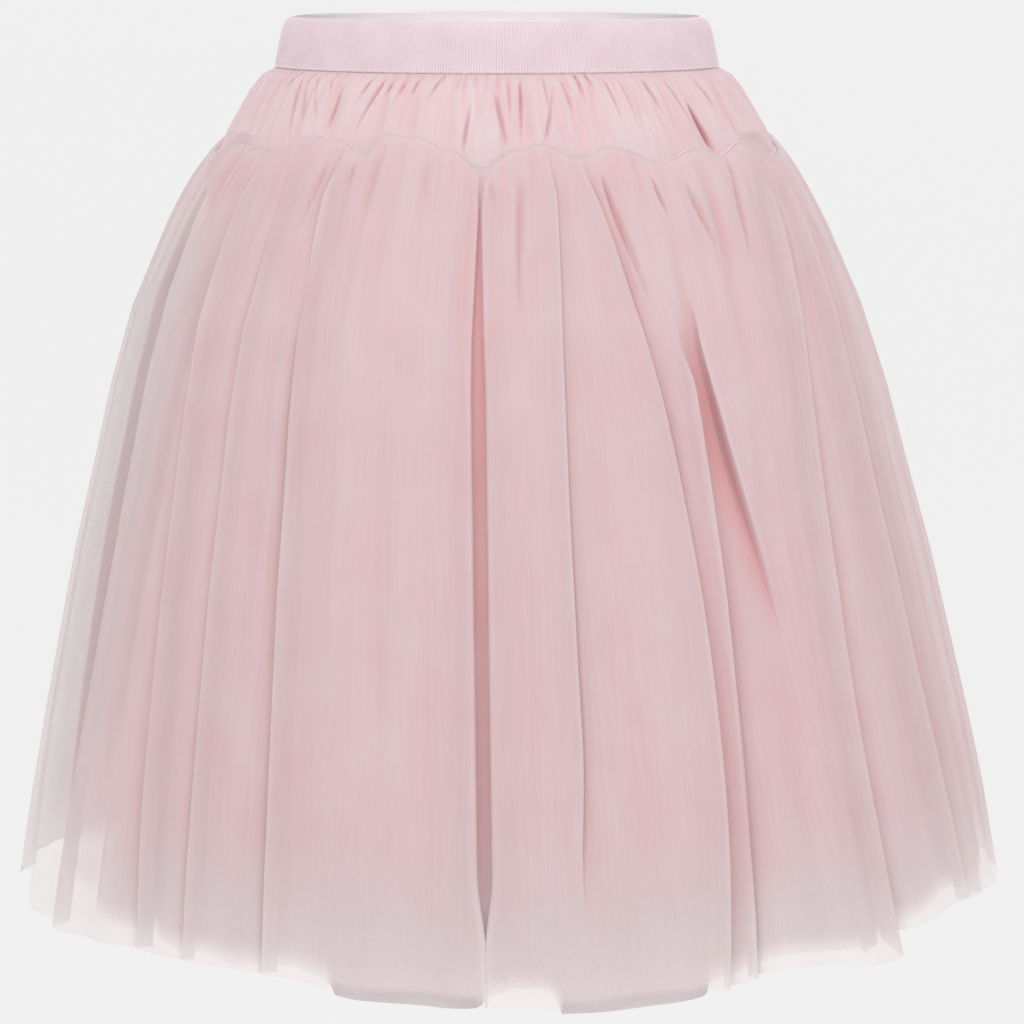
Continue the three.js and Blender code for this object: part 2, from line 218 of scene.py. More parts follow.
# Each row is one crease: the angle and height of its two ends, where along it it is deepest, how
# deep, and how far it spreads to the sides before and after it. A ridge has a negative depth.
yoke_creases = [
    Crease(-63.5, -0.0150, -60.0, -0.0270, 0.30, 0.0024, 0.0010, 0.0007),
    Crease(-58.0, -0.0150, -59.0, -0.0290, 0.35, 0.0028, 0.0010, 0.0007),
    Crease(-54.5, -0.0160, -46.9, -0.0600, 0.35, 0.0030, 0.0010, 0.0008),
    Crease(-52.0, -0.0155, -44.5, -0.0560, 0.30, 0.0021, 0.0007, 0.0011),
    Crease(-38.5, -0.0180, -38.6, -0.0480, 0.60, 0.0027, 0.0008, 0.0018),
    Crease(-34.0, -0.0170, -36.0, -0.0440, 0.50, -0.0016, 0.0030, 0.0030),
    Crease(-27.0, -0.0155, -31.2, -0.0500, 0.35, 0.0029, 0.0012, 0.0008),
    Crease(-21.0, -0.0155, -24.0, -0.0350, 0.25, 0.0018, 0.0008, 0.0008),
    Crease(-12.5, -0.0150, -15.6, -0.0300, 0.35, 0.0029, 0.0010, 0.0008),
    Crease(-8.6, -0.0155, -9.6, -0.0280, 0.30, 0.0018, 0.0008, 0.0008),
    Crease(-5.0, -0.0170, -6.8, -0.0610, 0.70, 0.0029, 0.0013, 0.0007),
    Crease(-0.9, -0.0200, 2.4, -0.0600, 0.50, 0.0029, 0.0007, 0.0016),
    Crease(0.2, -0.0420, 1.2, -0.0640, 0.50, -0.0014, 0.0016, 0.0012),
    Crease(5.6, -0.0160, 5.2, -0.0540, 0.35, 0.0026, 0.0008, 0.0008),
    Crease(13.6, -0.0180, 9.4, -0.0580, 0.60, 0.0026, 0.0008, 0.0012),
    Crease(15.0, -0.0155, 17.2, -0.0400, 0.35, 0.0024, 0.0008, 0.0012),
    Crease(22.4, -0.0155, 22.9, -0.0260, 0.30, 0.0021, 0.0008, 0.0008),
    Crease(30.0, -0.0170, 31.9, -0.0480, 0.35, 0.0024, 0.0008, 0.0013),
    Crease(33.8, -0.0360, 34.6, -0.0660, 0.60, -0.0022, 0.0020, 0.0014),
    Crease(47.6, -0.0300, 51.0, -0.0660, 0.62, 0.0120, 0.0027, 0.0016),
    Crease(59.0, -0.0200, 62.4, -0.0600, 0.60, 0.0034, 0.0008, 0.0013),
    Crease(-49.0, -0.0155, -42.0, -0.0440, 0.30, 0.0024, 0.0008, 0.0010),
    Crease(-43.5, -0.0155, -41.0, -0.0300, 0.35, 0.0022, 0.0009, 0.0008),
    Crease(-30.5, -0.0155, -33.0, -0.0330, 0.35, 0.0024, 0.0008, 0.0010),
    Crease(-24.0, -0.0155, -26.5, -0.0300, 0.35, 0.0022, 0.0008, 0.0008),
    Crease(-18.0, -0.0155, -20.0, -0.0300, 0.35, 0.0024, 0.0008, 0.0008),
    Crease(2.6, -0.0155, 3.0, -0.0420, 0.35, 0.0022, 0.0008, 0.0009),
    Crease(11.0, -0.0155, 11.6, -0.0380, 0.35, 0.0022, 0.0008, 0.0008),
    Crease(19.5, -0.0155, 20.4, -0.0360, 0.35, 0.0022, 0.0008, 0.0009),
    Crease(26.0, -0.0155, 28.0, -0.0440, 0.35, 0.0024, 0.0008, 0.0010),
    Crease(36.5, -0.0155, 39.5, -0.0420, 0.35, 0.0022, 0.0008, 0.0010),
    Crease(43.0, -0.0155, 46.5, -0.0480, 0.40, 0.0024, 0.0008, 0.0010),
    Crease(54.5, -0.0155, 58.0, -0.0420, 0.35, 0.0022, 0.0008, 0.0009),
    Crease(67.0, -0.0155, 70.0, -0.0480, 0.40, 0.0024, 0.0008, 0.0010),
    Crease(76.0, -0.0155, 78.0, -0.0380, 0.40, 0.0024, 0.0008, 0.0010),
    Crease(104.0, -0.0160, 107.0, -0.0420, 0.35, 0.0026, 0.0008, 0.0012),
    Crease(118.5, -0.0155, 120.0, -0.0530, 0.50, 0.0029, 0.0011, 0.0008),
    Crease(131.0, -0.0160, 133.5, -0.0330, 0.30, 0.0022, 0.0008, 0.0008),
    Crease(143.0, -0.0180, 146.0, -0.0560, 0.60, 0.0060, 0.0019, 0.0013),
    Crease(157.0, -0.0155, 156.0, -0.0400, 0.35, 0.0026, 0.0008, 0.0010),
    Crease(170.5, -0.0160, 173.0, -0.0580, 0.45, 0.0029, 0.0008, 0.0013),
    Crease(184.0, -0.0155, 182.6, -0.0330, 0.30, 0.0024, 0.0010, 0.0008),
    Crease(196.0, -0.0180, 193.0, -0.0560, 0.60, 0.0032, 0.0013, 0.0008),
    Crease(211.5, -0.0155, 210.0, -0.0420, 0.35, 0.0027, 0.0010, 0.0008),
    Crease(226.0, -0.0200, 223.0, -0.0600, 0.60, 0.0070, 0.0021, 0.0014),
    Crease(241.0, -0.0155, 238.5, -0.0440, 0.40, 0.0027, 0.0012, 0.0008),
    Crease(256.0, -0.0160, 252.0, -0.0560, 0.50, 0.0029, 0.0011, 0.0008),
]


def read_round(line, angle, column="height"):
    """Reads a line that runs right round the skirt, easing from each of its places to the next."""
    places = np.append(line["angle"], line["angle"][0] + 360)
    values = np.append(line[column], line[column][0])
    turned = places[0] + np.mod(angle - places[0], 360)
    row = np.clip(np.searchsorted(places, turned, side="right") - 1, 0, len(places) - 2)
    share = (turned - places[row]) / (places[row + 1] - places[row])
    return values[row] + (values[row + 1] - values[row]) * (1 - np.cos(np.pi * share)) / 2


def beside(angle, middle, near, far):
    """1 near an angle of the skirt, easing to 0 away from it."""
    return smooth_step(far, near, np.abs(np.mod(angle - middle + 180, 360) - 180))


def degree_length(half_width, half_depth, angle):
    """How long one degree is on an oval at an angle."""
    turn = np.radians(angle)
    return np.radians(np.hypot(half_width * np.cos(turn), half_depth * np.sin(turn)))


def crease_depth(creases, angle, height, per_degree):
    """How far a table of creases draws the cloth in at each place."""
    total = np.zeros(np.broadcast(angle, height).shape)
    for crease in creases:
        run = np.clip((height - crease.top_height) / (crease.bottom_height - crease.top_height), 0, 1)
        strength = np.sin(np.pi * run ** (np.log(0.5) / np.log(crease.peak)))
        line = crease.top + (crease.bottom - crease.top) * run
        off = (np.mod(angle - line + 180, 360) - 180) * per_degree
        spread = np.where(off < 0, crease.before, crease.after) * (0.5 + 0.5 * strength)
        total += crease.deep * strength * np.exp(-(off / spread) ** 2)
    return total


def uneven_wave(angle, count, seed, sharpness=2.4):
    """Uneven gathers: 1 in a narrow valley and 0 over the wide crests between them."""
    turn = np.radians(angle)
    phase = count * turn + 1.9 * np.sin(5 * turn + seed) + 1.2 * np.sin(13 * turn + 2 * seed)
    size = 0.62 + 0.24 * np.sin(17 * turn + 3 * seed) + 0.14 * np.sin(41 * turn + seed)
    return size * (0.5 - 0.5 * np.cos(phase)) ** sharpness


def soft_tulle(name, pale, deep, cover, unlined="#D5C6CA"):
    """Soft nylon tulle: a matt net of fine thread that the eye sees as thin upright lines. It is
    pale where one layer stands alone; a painted shade makes it pinker in its folds and creases, and
    painted highlights make it paler on its ridges and edges."""
    thread_pitch = 0.00125   # the net's own pitch
    patch_size = 0.020       # patches where the net's cross threads line up and show
    cloud_size = 0.036
    line_strength = 0.15
    streak_width = 0.0022    # threads that lie closer together here and there
    material, shader = new_material(name)
    threads = add(material, "UVMap", {"uv_map": "threads"})
    slow = add(material, "VectorMath", {"operation": "MULTIPLY"}, i0=threads.outputs[0],
               i1=(1 / patch_size, 0.6 / patch_size, 1))
    patches = add(material, "TexNoise", {"noise_dimensions": "2D"}, Vector=slow.outputs[0], Scale=1.0,
                  Detail=1.0)
    clouds = add(material, "TexNoise", {"noise_dimensions": "2D"}, Vector=threads.outputs[0],
                 Scale=1 / cloud_size, Detail=1.0)
    drawn_out = add(material, "VectorMath", {"operation": "MULTIPLY"}, i0=threads.outputs[0],
                    i1=(1 / streak_width, 1 / 0.05, 1))
    streaks = add(material, "TexNoise", {"noise_dimensions": "2D"}, Vector=drawn_out.outputs[0], Scale=1.0,
                  Detail=0.0)
    places = add(material, "SeparateXYZ", None, Vector=threads.outputs[0])
    wander = add(material, "Math", {"operation": "MULTIPLY_ADD"}, i0=clouds.outputs[0], i1=0.0015,
                 i2=places.outputs[0])
    turns = add(material, "Math", {"operation": "MULTIPLY"}, i0=wander.outputs[0],
                i1=2 * np.pi / thread_pitch)
    upright = add(material, "Math", {"operation": "SINE"}, i0=turns.outputs[0])
    cross_turns = add(material, "Math", {"operation": "MULTIPLY"}, i0=places.outputs[1],
                      i1=2 * np.pi / thread_pitch)
    crosswise = add(material, "Math", {"operation": "SINE"}, i0=cross_turns.outputs[0])
    shown = add(material, "MapRange", {"interpolation_type": "SMOOTHSTEP"}, Value=patches.outputs[0],
                From_Min=0.48, From_Max=0.66, To_Min=0.0, To_Max=1.0)
    crossed = add(material, "Math", {"operation": "MULTIPLY_ADD"}, i0=crosswise.outputs[0],
                  i1=shown.outputs[0], i2=0.55)
    spread = add(material, "MapRange", {"interpolation_type": "SMOOTHSTEP"}, Value=places.outputs[1],
                 From_Min=0.02, From_Max=0.20, To_Min=0.35, To_Max=1.0)
    spaced = add(material, "Math", {"operation": "MULTIPLY"}, i0=crossed.outputs[0], i1=spread.outputs[0])
    net = add(material, "Math", {"operation": "MULTIPLY"}, i0=upright.outputs[0], i1=spaced.outputs[0])
    layers = add(material, "Attribute", {"attribute_name": "layers"})
    covered = add(material, "Math", {"operation": "ADD"}, i0=layers.outputs["Fac"], i1=cover)
    threaded = add(material, "Math", {"operation": "MULTIPLY_ADD", "use_clamp": True}, i0=net.outputs[0],
                   i1=0.06, i2=covered.outputs[0])
    # The fold attribute is painted shade: it pulls the colour towards the deep pink in folds, creases and
    # valleys, and below zero it is a painted highlight
    fold = add(material, "Attribute", {"attribute_name": "fold"})
    clouded = add(material, "Math", {"operation": "MULTIPLY_ADD"}, i0=clouds.outputs[0], i1=0.24, i2=-0.15)
    streaked = add(material, "Math", {"operation": "MULTIPLY_ADD"}, i0=streaks.outputs[0], i1=0.18,
                   i2=clouded.outputs[0])
    tone_and_painted_shade = add(material, "Math", {"operation": "ADD"}, i0=streaked.outputs[0], i1=fold.outputs["Fac"])
    depth = add(material, "Math", {"operation": "MULTIPLY_ADD", "use_clamp": True}, i0=net.outputs[0],
                i1=line_strength, i2=tone_and_painted_shade.outputs[0])
    tint = add(material, "Mix", {"data_type": "RGBA"}, i0=depth.outputs[0], i6=colour(pale), i7=colour(deep))
    below = add(material, "Attribute", {"attribute_name": "below_lining"})
    greyer = add(material, "Mix", {"data_type": "RGBA"}, i0=below.outputs["Fac"], i6=tint.outputs[2],
                 i7=colour(unlined))
    along_turns = add(material, "Math", {"operation": "MULTIPLY"}, i0=places.outputs[0],
                      i1=2 * np.pi / thread_pitch)
    lengthwise = add(material, "Math", {"operation": "SINE"}, i0=along_turns.outputs[0])
    knots = add(material, "Math", {"operation": "MULTIPLY"}, i0=lengthwise.outputs[0],
                i1=crosswise.outputs[0])
    relief = add(material, "Bump", None, Strength=0.15, Distance=0.0002, Height=knots.outputs[0])
    links = material.node_tree.links
    links.new(greyer.outputs[2], shader.inputs["Base Color"])
    links.new(threaded.outputs[0], shader.inputs["Alpha"])
    links.new(relief.outputs[0], shader.inputs["Normal"])
    shader.inputs["Roughness"].default_value = 0.85
    shader.inputs["Specular IOR Level"].default_value = 0.25
    shader.inputs["Sheen Weight"].default_value = 0.12
    shader.inputs["Sheen Roughness"].default_value = 0.5
    return material


# Pale colour of the net, and the pink of the painted shade in its folds
yoke_tulle = soft_tulle("soft tulle of the yoke", "#E8D4D8", "#E6A0A1", 0.70)
for facing in ("front", "back"):
    angle = side_angles(facing, 1181)[None, :]
    share = (np.linspace(0, 1, 60) ** 1.25)[:, None]
    height = band_bottom + (read_round(seam_line, angle) + 0.0003 - band_bottom) * share
    fall = band_bottom - height
    half_width = read(yoke_outline, "half_width", height)
    half_depth = read(yoke_outline, "half_depth", height)
    reach = gather_reach + reach_varies * np.sin(np.radians(angle * 19 + 40)) * np.sin(np.radians(angle * 7))
    fine = gather_deep * uneven_wave(angle, gathers_round, 0.7, 4.5) * np.exp(-(fall / reach) ** 1.5)
    broad = fold_deep * uneven_wave(angle, 31, 2.1, 1.4) * smooth_step(0.003, 0.016, fall)
    ridges = ridge_deep * uneven_wave(angle - 60 * fall, 71, 5.2, 1.2) * smooth_step(0.001, 0.010, fall)
    per_degree = degree_length(half_width, half_depth, angle)
    creased = crease_depth(yoke_creases, angle, height, per_degree)
    flattened = 1 - 0.75 * smooth_step(0.82, 1, share)
    drawn_in = (fine + broad + ridges + creased) * flattened * smooth_step(0, 0.05, share)
    points = oval_point(half_width, half_depth, angle, -drawn_in - tuck_under_band, height)
    # Painted shade: the fold mask makes the fine gathers, folds and creases pinker, and the ridges, with
    # their negative depth, paler as a painted highlight
    sharp = np.clip(fine / 0.0022, 0, 1) + np.clip(creased / 0.0030, -0.4, 1.4)
    soft = 0.16 * broad / fold_deep + 0.16 * ridges / ridge_deep
    fold = (0.5 * sharp + soft) * flattened
    # Painted glints: the satin lining's gloss, seen through the net, is painted into these places as a paler
    # colour
    painted_glints = sum(
        beside(angle, place, 0, wide) * smooth_step(low - 0.012, low, height)
        * smooth_step(high + 0.006, high, height)
        for place, wide, low, high in painted_glint_places
    )
    masks = {"fold": fold * (1 - 0.6 * painted_glints) - 0.20 * painted_glints, "layers": 0.2 * fold}
    panel = cloth("yoke_cloth_" + facing, points, running_length(points, 40), fall, masks)
    panel.data.materials.append(yoke_tulle)
    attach(panel, "root")
    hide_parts("yoke_" + facing)

# Under tier: the second layer of tulle, sewn into the same seam behind the outer one and cut a
# little shorter. It follows the folds of the layer over it, and makes them look dense and pink.
tier_outline = {
    "height": [-0.045, -0.060, -0.083, -0.108, -0.156, -0.205, -0.254, -0.304, -0.404, -0.454, -0.526],
    "half_width": [0.171, 0.176, 0.187, 0.200, 0.221, 0.236, 0.248, 0.261, 0.283, 0.293, 0.305],
    "half_depth": [0.139, 0.145, 0.156, 0.168, 0.189, 0.204, 0.216, 0.228, 0.248, 0.256, 0.264],
}
hem_line = {
    "angle": [-90, -62, -45, -26, -16, 7, 22, 33, 44, 62, 90, 116, 142, 168, 194, 220, 246],
    "height": [-0.508, -0.516, -0.512, -0.513, -0.520, -0.525, -0.521, -0.510, -0.514, -0.503, -0.506,
               -0.514, -0.509, -0.519, -0.514, -0.521, -0.512],
}
Fold = namedtuple("Fold", "seam middle hem deep flank start gap lap_before lap_after end", defaults=[2.0])
# Each row is the valley between two folds: its angle at the seam, partway down and at the hem, how
# deep it is at the hem, how wide its flank is, the share of the drop where it begins, how far its
# sides stand apart, how far the cloth before and after it laps over it, and where it ends.
front_folds = [
    Fold(-90, -90, -90, 0.005, 0.026, 0, 0, 0, 0),
    Fold(-60, -62, -64, 0.012, 0.030, 0, 0, 0, 0.004),
    Fold(-52, -48.5, -44.8, 0.014, 0.026, 0, 0, 0, 0.011),
    Fold(-41, -39.5, -37.5, 0.011, 0.020, 0, 0, 0, 0.009),
    Fold(-31.5, -28.5, -26.5, 0.015, 0.024, 0, 0, 0, 0.011),
    Fold(-2.8, -2.6, -2.6, 0.011, 0.017, 0, 0.009, 0.004, 0.004),
    Fold(10.5, 8.3, 8.8, 0.010, 0.020, 0, 0, 0.009, 0, 0.84),
    Fold(16.5, 25, 24, 0.009, 0.022, 0, 0, 0.005, 0),
    Fold(27.2, 28.9, 27.0, 0.012, 0.030, 0.22, 0.002, 0.008, 0),
    Fold(28.6, 34.6, 43.0, 0.005, 0.016, 0.17, 0, 0, 0.006, 0.48),
    Fold(62, 48, 47.8, 0.016, 0.026, 0, 0, 0.011, 0),
    Fold(70, 62.3, 64.5, 0.013, 0.020, 0, 0, 0.009, 0),
    Fold(77, 69.5, 69, 0.013, 0.020, 0.1, 0, 0.009, 0),
]
back_folds = [
    Fold(90, 90, 90, 0.005, 0.026, 0, 0, 0, 0),
    Fold(102, 104, 103, 0.013, 0.024, 0, 0, 0, 0.010),
    Fold(113, 115, 114, 0.010, 0.020, 0, 0, 0, 0.008),
    Fold(127, 124, 126, 0.016, 0.028, 0, 0, 0, 0.012),
    Fold(139, 141, 140, 0.012, 0.022, 0, 0, 0, 0.009),
    Fold(149, 148, 151, 0.015, 0.022, 0.1, 0.003, 0.006, 0),
    Fold(163, 166, 164, 0.011, 0.024, 0, 0, 0, 0.009),
    Fold(176, 175, 177, 0.026, 0.020, 0, 0.006, 0.004, 0.004),
    Fold(188, 190, 188, 0.013, 0.022, 0, 0, 0.009, 0),
    Fold(203, 200, 202, 0.015, 0.026, 0, 0, 0.011, 0),
    Fold(212, 214, 213, 0.010, 0.020, 0.15, 0, 0.008, 0),
    Fold(226, 229, 228, 0.017, 0.028, 0, 0.003, 0.011, 0),
    Fold(240, 238, 239, 0.012, 0.022, 0, 0, 0.009, 0),
    Fold(251, 253, 250, 0.014, 0.024, 0, 0, 0.010, 0),
]
# A valley's middle angle stands at this share of the drop, and it starts with these shares of its
# depth and its flank at the seam
middle_drop = 0.42
fold_at_seam = 0.28
flank_at_seam = 0.7
# The cloth puffs out just under the seam before it falls
shoulder_drop = 0.006
shoulder_puff = 0.0026
# Where cloth laps over a valley: how wide its flank is, and where on it the rounded edge stands
lap_flank = 0.016
lap_edge = 0.26
# The under tier hangs this far inside the outer one, more at the left side
under_inset_at_seam = 0.0033
under_inset = 0.009
under_inset_at_left = 0.015
under_inset_drop = 0.045
floor_per_inset = 0.75
# How much higher than the hem line each tier ends, round the skirt
under_shortened = {
    "angle": [-90, -68, -66, -46, -44.5, -38, -36, -27, -25, -20.5, -19.5, -4, -1.5, 0.5, 4.4, 5.4,
              22, 23.5, 26, 28, 43, 45, 47.5, 49, 60, 90,
              112, 114, 130, 132, 150, 152, 176, 178, 200, 202, 226, 228, 250],
    "height": [0.006, 0.008, 0.009, 0.008, 0.002, 0.002, 0.001, 0.001, 0.002, 0.002, -0.005, -0.005,
               0.004, 0.009, 0.009, -0.005, -0.005, 0.003, 0.002, 0.003, 0.003, -0.002, -0.002, 0.005,
               0.006, 0.006,
               0.006, 0.002, 0.003, 0.007, 0.006, -0.005, -0.006, 0.005, 0.004, 0.007, 0.006, 0.002, 0.002],
}
outer_shortened = {
    "angle": [-86, -83, -75, -72, -50, 0, 26, 40, 47.2, 48.2, 58, 70, 90, 180],
    "height": [0.000, 0.008, 0.015, 0.000, 0.000, 0.000, 0.000, -0.004, -0.006, 0.006, 0.003, 0.000,
               0.000, 0.000],
}
under_gather_deep = 0.0012
under_wave_deep = 0.0018


def valley_angle(fold, share):
    """Angle of a fold's valley at a share of the drop, on a curve through its three angles."""
    rest = share / middle_drop
    beyond = (share - middle_drop) / (1 - middle_drop)
    chord = fold.seam + (fold.hem - fold.seam) * share
    bend = fold.middle - (fold.seam + (fold.hem - fold.seam) * middle_drop)
    return chord + bend * np.where(share < middle_drop, 1 - (1 - rest) ** 2, 1 - beyond ** 2)


def valley_depth(fold, share):
    """How deep a fold's valley is at a share of the drop. One that is lapped over is shallower."""
    grown = fold_at_seam + (1 - fold_at_seam) * np.sqrt(share)
    begun = np.where(fold.start == 0, 1, smooth_step(fold.start - 0.1, fold.start + 0.15, share))
    lapped = np.maximum(fold.lap_before, fold.lap_after) > 0.005
    closed = np.where(fold.gap > 0.005, 0.4 + 0.6 * smooth_step(0.96, 0.84, share), 1)
    shallower = np.where(lapped, 0.65, 1) * closed
    return fold.deep * shallower * grown * begun * smooth_step(fold.end + 0.12, fold.end - 0.12, share)


def tier_columns(folds, closing, per_degree):
    """Columns of a panel between each two valleys, crowded towards the valleys."""
    rows = folds + [closing]
    before, after, across = [], [], []
    for fold, following in zip(rows[:-1], rows[1:]):
        widest = max(following.seam - fold.seam, following.middle - fold.middle, following.hem - fold.hem)
        steps = max(10, round(widest * per_degree))
        places = (1 - np.cos(np.pi * np.arange(steps) / steps)) / 2
        before += [fold] * steps
        after += [following] * steps
        across += list(places)
    before.append(rows[-2])
    after.append(rows[-1])
    across.append(1.0)
    columns = (Fold(*np.array(side, dtype=float).T[:, None, :]) for side in (before, after))
    return *columns, np.array(across)[None, :]


def flank(distance, wide, lap):
    """Beside a valley, as shares of 1: the depth, how far the cloth laps over it, and its rim."""
    wide = np.where(lap > 0, lap_flank, wide)
    run = np.clip(distance / wide, 0, 1)
    drawn = np.where(lap > 0, (1 - run) ** 6, (1 - run) ** 2)
    lapped = 6.75 * run * (1 - run) ** 2
    rim = np.where(lap > 0, np.exp(-((run - lap_edge) / 0.14) ** 2), 0)
    return drawn, lapped, rim


Hang = namedtuple("Hang", "points angle fall to_hem fold rim pink")


def tier_points(before, after, across, share, inset=None, shortened=None, lapping=1.0, finer=None):
    """Grid of a tier: folds with lapped edges over the tier's outline, hung from the wavy seam."""
    # Where each point hangs before it is folded
    start, end = valley_angle(before, share), valley_angle(after, share)
    angle = start + (end - start) * across
    top = read_round(seam_line, angle) - 0.0003
    hem = read_round(hem_line, angle)
    if shortened:
        hem = hem + read_round(shortened, angle)
    height = top + (hem - top) * share
    fall = top - height
    puffed = height + shoulder_puff * fall / 0.002 * np.exp(1 - fall / 0.002)
    half_width = read(tier_outline, "half_width", height)
    half_depth = read(tier_outline, "half_depth", height)
    inwards = inset(angle, fall) if inset else 0.0
    per_degree = degree_length(half_width, half_depth, angle)
    # The valley on each side of it, and how far the cloth is drawn in and laps over there
    spread = flank_at_seam + (1 - flank_at_seam) * share
    growth = [
        smooth_step(fold.start, fold.start + 0.06, share)
        * smooth_step(fold.end + 0.08, fold.end - 0.16, share)
        * (0.5 + 0.5 * np.sqrt(share)) * lapping
        for fold in (before, after)
    ]
    floor = floor_per_inset * inwards
    opening = smooth_step(0.94, 0.84, share)
    gaps = [
        fold.gap / 2 * smooth_step(fold.start - 0.05, fold.start + 0.3, share) * opening
        for fold in (before, after)
    ]
    off = [(angle - start) * per_degree - floor - gaps[0], (end - angle) * per_degree - floor - gaps[1]]
    sides = [
        flank(off[0] / spread, before.flank, before.lap_after * lapping),
        flank(off[1] / spread, after.flank, after.lap_before * lapping),
    ]
    depths = [valley_depth(fold, share) * (0.8 + 0.2 * lapping) for fold in (before, after)]
    drawn_in = np.maximum(depths[0] * sides[0][0], depths[1] * sides[1][0])
    sideways = after.lap_before * sides[1][1] * growth[1] - before.lap_after * sides[0][1] * growth[0]
    # From the shared seam line, the cloth opens out to its full form
    extra, pink = finer(angle, height, fall, per_degree)
    crest = oval_point(half_width, half_depth, angle, -drawn_in - inwards - extra, puffed, sideways)
    edge = oval_point(
        read(yoke_outline, "half_width", height),
        read(yoke_outline, "half_depth", height),
        angle,
        -tuck_under_band - inwards,
        puffed,
    )
    opened = (1 - np.exp(-fall / shoulder_drop))[..., None]
    # Masks: the rounded edges, and a painted shade that makes the valleys pink, with their open floors pinker
    # near the seam and paler lower down
    rim = np.maximum(sides[0][2] * growth[0], sides[1][2] * growth[1])
    floors = [smooth_step(0.6, 1, side[0]) * np.clip(gap / 0.002, 0, 1) for side, gap in zip(sides, gaps)]
    on_floor = (0.60 - 1.15 * share) * np.maximum(*floors)
    fold = np.clip(drawn_in / 0.013 + on_floor, 0, 1) * smooth_step(0.0, 0.02, fall)
    return Hang(edge + (crest - edge) * opened, angle, fall, top - hem - fall, fold, rim, pink)


def drop_shares(rows):
    """Shares of the drop, close together under the seam and at the raw edge."""
    body = np.linspace(0, 0.99, rows) ** 1.45
    return np.append(body, [0.990, 0.9945, 0.9975, 1.0])[:, None]


def under_inset_at(angle, fall):
    """How far the under tier hangs inside the outer one."""
    aside = np.abs(np.mod(angle + 88 + 180, 360) - 180)
    full = under_inset + under_inset_at_left * smooth_step(38, 14, aside)
    return under_inset_at_seam + (full - under_inset_at_seam) * smooth_step(0, under_inset_drop, fall)


def under_finer(angle, height, fall, per_degree):
    """The under tier's small gathers and waves. They add no painted shade of their own."""
    gathers = under_gather_deep * uneven_wave(angle, 96, 4.0) * np.exp(-fall / 0.03)
    waves = under_wave_deep * uneven_wave(angle + height * 12, 29, 1.4, 1.2) * smooth_step(0.01, 0.1, fall)
    return gathers + waves, 0.0


# Pale colour of the net, the pink of the painted shade in its folds, and its colour below the lining
under_tulle = soft_tulle("soft tulle of the under tier", "#E9C5CB", "#E79F9F", 1.1, "#D3C9CB")
# Each panel ends at the first valley of the other one, on the side seam
front_again = front_folds[0]._replace(seam=270, middle=270, hem=270)
panels = {"front": (front_folds, back_folds[0]), "back": (back_folds, front_again)}
for facing, (folds, closing) in panels.items():
    before, after, across = tier_columns(folds, closing, 1.9)
    rows = drop_shares(90)
    hang = tier_points(before, after, across, rows, under_inset_at, under_shortened, 0.0, under_finer)
    below_lining = smooth_step(-0.43, -0.49, hang.points[..., 2])
    shorter = smooth_step(-0.004, 0.001, read_round(under_shortened, hang.angle))
    faded = smooth_step(0.012, 0.0, hang.to_hem) * (0.2 + 0.8 * shorter)
    at_left = beside(hang.angle, -80, 14, 34) * smooth_step(0.02, 0.08, hang.fall)
    # Painted shade: pinker in the valleys, less so at the left side where the under tier hangs sheer
    pink = 0.7 * hang.fold - 0.3 * at_left
    masks = {"fold": pink, "layers": -0.65 * faded - 0.65 * at_left, "below_lining": below_lining}
    around = running_length(hang.points, 70)
    panel = cloth("under_tier_cloth_" + facing, hang.points, around, hang.fall, masks)
    panel.data.materials.append(under_tulle)
    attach(panel, "root")
    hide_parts("under_tier_" + facing)

